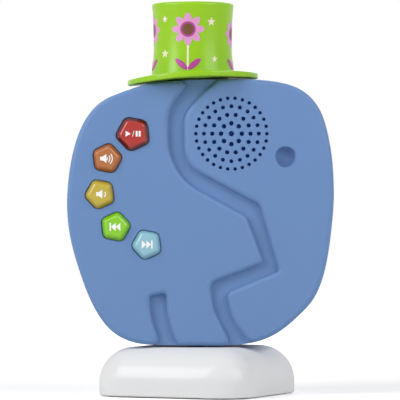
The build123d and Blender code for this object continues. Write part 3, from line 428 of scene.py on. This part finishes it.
def sign_parts(key, x, y, z):
    """The flat parts of one button's sign, round its middle."""
    if key == "play":
        play = [ink_triangle(PLAY_WIDE, PLAY_TALL, x + PLAY_AT, y, z, 1), ink_slash(x + SLASH_AT, y, z)]
        return play + [flat_plate(PAUSE_BAR, PLAY_TALL, x + across, y, z) for across in PAUSE_AT]
    if key == "volume_up":
        horn = [ink_horn(x + LOUD_HORN_AT, y, z)]
        return horn + [ink_wave(radius, x + LOUD_WAVES_AT, y, z) for radius in LOUD_RADII]
    if key == "volume_down":
        return [ink_horn(x + SOFT_HORN_AT, y, z), ink_wave(SOFT_RADIUS, x + SOFT_WAVE_AT, y, z)]
    side = -1 if key == "previous" else 1
    bar = [flat_plate(SKIP_BAR, SKIP_TALL, x + side * SKIP_BAR_AT, y, z)]
    return bar + [ink_triangle(SKIP_WIDE, SKIP_TALL, x + side * across, y, z, side) for across in SKIP_AT]


def print_signs():
    """White control signs on the caps, each riding on its own button."""
    # Pad-printed ink: dense white with a dull gloss
    ink = moulded("white_pad_ink", "fbfbfa", "f6f6f5", 0.45, **INK_GRAIN)
    for key in KEYS:
        low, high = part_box(key + "_plunger")
        middle = (low + high) / 2
        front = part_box(key + "_cap")[0].y - INK_GAP
        sign = join(sign_parts(key, middle.x, front, middle.z), key + "_sign")
        thicken(sign)
        sign.data.materials.append(ink)
        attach(sign, key + "_key")


def print_disc(width, height, turn, reach, front, up, ink):
    """A printed oval, turned about a point over the hat's axis and set out from it."""
    bpy.ops.object.select_all(action="DESELECT")
    bpy.ops.mesh.primitive_circle_add(vertices=DISC_CORNERS, radius=0.5, fill_type="TRIFAN",
                                      rotation=(math.pi / 2, 0, 0))
    disc = bpy.context.object
    disc.scale = (width, height, 1)
    settle()
    turned = Matrix.Rotation(turn, 4, "Y") @ Matrix.Translation((0, 0, reach))
    disc.matrix_world = Matrix.Translation((0, front, up)) @ turned
    settle()
    cut_up(disc, PRINT_CUTS)
    disc.data.materials.append(ink)
    return disc


def print_stem(height, front, foot, ink):
    """A printed upright bar."""
    stem = flat_plate(STEM_WIDE, height, 0, front, foot + height / 2)
    cut_up(stem, STEM_CUTS)
    stem.data.materials.append(ink)
    return stem


def print_star(size, front, up, ink):
    """A printed star: a disc whose every other corner is drawn in."""
    bpy.ops.object.select_all(action="DESELECT")
    bpy.ops.mesh.primitive_circle_add(vertices=2 * STAR_POINTS, radius=size / 2, fill_type="TRIFAN",
                                      location=(0, front, up), rotation=(math.pi / 2, 0, 0))
    star = bpy.context.object
    settle()
    choose(star, lambda corner: round(math.atan2(corner.x, corner.z - up) * STAR_POINTS / math.pi) % 2 == 1)
    bpy.ops.transform.resize(value=(STAR_WAIST,) * 3, center_override=(0, front, up))
    close_edit()
    cut_up(star, PRINT_CUTS)
    star.data.materials.append(ink)
    return star


def wrap_on_crown(parts, turn, name, lift):
    """Lay flat printed parts on the crown at a turn about the hat's axis, and let them ride on the hat."""
    piece = join(parts, name)
    low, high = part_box("hat_shell")
    turned = Matrix.Rotation(math.radians(turn), 4, "Z")
    piece.matrix_world = Matrix.Translation(((low.x + high.x) / 2, 0, 0)) @ turned
    press = piece.modifiers.new("press", "SHRINKWRAP")
    press.target = solids["hat_shell"]
    press.wrap_method = "PROJECT"
    press.use_project_y = True
    press.use_positive_direction = True
    press.use_negative_direction = False
    press.offset = lift
    bpy.context.view_layer.objects.active = piece
    bpy.ops.object.modifier_apply(modifier=press.name)
    thicken(piece)
    bpy.ops.object.select_all(action="DESELECT")
    piece.select_set(True)
    settle()
    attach(piece, "hat")


def print_hat():
    """A print of simple flowers and stars round the crown."""
    # Pad-printed inks: flat, slightly dull colours
    colours = [
        ("pink", "e19bd0", "dc93c9"), ("magenta", "b8439c", "b03b93"),
        ("brown", "6e4526", "643d20"), ("cream", "f6ead6", "f0e2cb"),
    ]
    inks = {name: moulded(name + "_pad_ink", base, shade, 0.4, **INK_GRAIN) for name, base, shade in colours}
    low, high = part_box("hat_shell")
    brim = high.z - CROWN_TALL
    foot = brim + STEM_FOOT
    front = low.y - PRINT_STANDOFF
    for count, (turn, height, size) in enumerate(FLOWERS, 1):
        up = brim + height * MM
        petals = [
            print_disc(PETAL_SIZE[0] * size, PETAL_SIZE[1] * size, 2 * math.pi * petal / PETAL_COUNT,
                       PETAL_REACH * size, front, up, inks["pink"])
            for petal in range(PETAL_COUNT)
        ]
        wrap_on_crown(petals, turn, f"hat_petals_{count}", INK_GAP)
        ring = print_disc(RING_SIZE * size, RING_SIZE * size, 0, 0, front, up, inks["magenta"])
        wrap_on_crown([ring], turn, f"hat_ring_{count}", INK_GAP + INK_LAYER)
        heart = print_disc(HEART_SIZE * size, HEART_SIZE * size, 0, 0, front, up, inks["brown"])
        wrap_on_crown([heart], turn, f"hat_heart_{count}", INK_GAP + 2 * INK_LAYER)
        stem_tall = up - (PETAL_REACH + PETAL_SIZE[1] / 2) * size - foot
        stem = print_stem(stem_tall, front, foot, inks["cream"])
        wrap_on_crown([stem], turn, f"hat_stem_{count}", INK_GAP)
        leaves = [
            print_disc(*LEAF_SIZE, side * LEAF_LEAN, LEAF_REACH, front, foot + INK_LAYER, inks["magenta"])
            for side in (-1, 1)
        ]
        wrap_on_crown(leaves, turn, f"hat_leaves_{count}", INK_GAP + INK_LAYER)
    for count, (turn, height, size) in enumerate(STARS, 1):
        star = print_star(STAR_SIZE * size, front, brim + height * MM, inks["cream"])
        wrap_on_crown([star], turn, f"hat_star_{count}", INK_GAP)


def white_to_the_eye(tree):
    """One where the camera sees the studio, also by a reflection or through a clear piece."""
    path = add_node(tree, "ShaderNodeLightPath").outputs
    seen = add_node(tree, "ShaderNodeMath",
                    {0: path["Is Camera Ray"], 1: path["Is Glossy Ray"]}, operation="MAXIMUM")
    clear = add_node(tree, "ShaderNodeMath",
                     {0: seen.outputs[0], 1: path["Is Transmission Ray"]}, operation="MAXIMUM")
    return clear.outputs[0]


def make_floor():
    """A pale floor that keeps the object's shadow and fades to plain white away from it."""
    bpy.ops.object.select_all(action="DESELECT")
    bpy.ops.mesh.primitive_plane_add(size=FLOOR_SIZE, location=(0, 0, 0))
    floor = bpy.context.object
    floor.name = "studio_floor"
    # Studio paper: a matt near-white that takes soft shadows
    material, tree = new_material("studio_paper")
    paper = add_node(tree, "ShaderNodeBsdfDiffuse", {"Color": linear(PAPER)})
    place = add_node(tree, "ShaderNodeTexCoord").outputs["Object"]
    away = add_node(tree, "ShaderNodeVectorMath", {0: place}, operation="LENGTH").outputs["Value"]
    fade = add_node(tree, "ShaderNodeMapRange",
                    {"Value": away, "From Min": NEAR, "From Max": FAR, "To Min": GLOW_NEAR, "To Max": GLOW_FAR})
    level = add_node(tree, "ShaderNodeMath",
                     {0: white_to_the_eye(tree), 1: fade.outputs[0]}, operation="MULTIPLY")
    glow = add_node(tree, "ShaderNodeEmission", {"Strength": level.outputs[0], "Color": linear(WHITE)})
    both = add_node(tree, "ShaderNodeAddShader", {0: paper.outputs[0], 1: glow.outputs[0]})
    add_node(tree, "ShaderNodeOutputMaterial", {"Surface": both.outputs[0]})
    floor.data.materials.append(material)


def make_world():
    """Soft white light all round, which the camera sees as plain white."""
    world = bpy.data.worlds.new("studio")
    bpy.context.scene.world = world
    world.use_nodes = True
    tree = world.node_tree
    tree.nodes.clear()
    fill = add_node(tree, "ShaderNodeBackground", {"Color": linear(WHITE), "Strength": FILL_LIGHT})
    seen = add_node(tree, "ShaderNodeBackground", {"Color": linear(WHITE), "Strength": SEEN_LIGHT})
    mix = add_node(tree, "ShaderNodeMixShader",
                   {0: white_to_the_eye(tree), 1: fill.outputs[0], 2: seen.outputs[0]})
    add_node(tree, "ShaderNodeOutputWorld", {"Surface": mix.outputs[0]})


def make_softbox(name, azimuth, elevation, distance, size, power):
    """A soft box that looks at the object."""
    light = bpy.data.lights.new(name, "AREA")
    light.shape = "RECTANGLE"
    light.size, light.size_y = size
    light.energy = power
    lamp = bpy.data.objects.new(name, light)
    bpy.context.scene.collection.objects.link(lamp)
    turn, rise = math.radians(azimuth), math.radians(elevation)
    away = Vector((math.sin(turn) * math.cos(rise), -math.cos(turn) * math.cos(rise), math.sin(rise)))
    lamp.location = AIM + away * distance
    lamp.rotation_euler = (-away).to_track_quat("-Z", "Y").to_euler()


def make_camera():
    """The camera at the photograph's view."""
    lens = bpy.data.cameras.new("front_camera")
    lens.sensor_width = SENSOR
    lens.lens = SENSOR * -CAMERA_PLACE.y / PICTURE_WIDTH
    camera = bpy.data.objects.new("front_camera", lens)
    bpy.context.scene.collection.objects.link(camera)
    camera.location = CAMERA_PLACE
    camera.rotation_euler = (math.pi / 2, 0, 0)
    bpy.context.scene.camera = camera
    bpy.context.scene.view_settings.view_transform = "Standard"


make_finishes()
print_signs()
print_hat()
make_floor()
make_world()
for name, settings in SOFTBOXES.items():
    make_softbox(name, *settings)
make_camera()
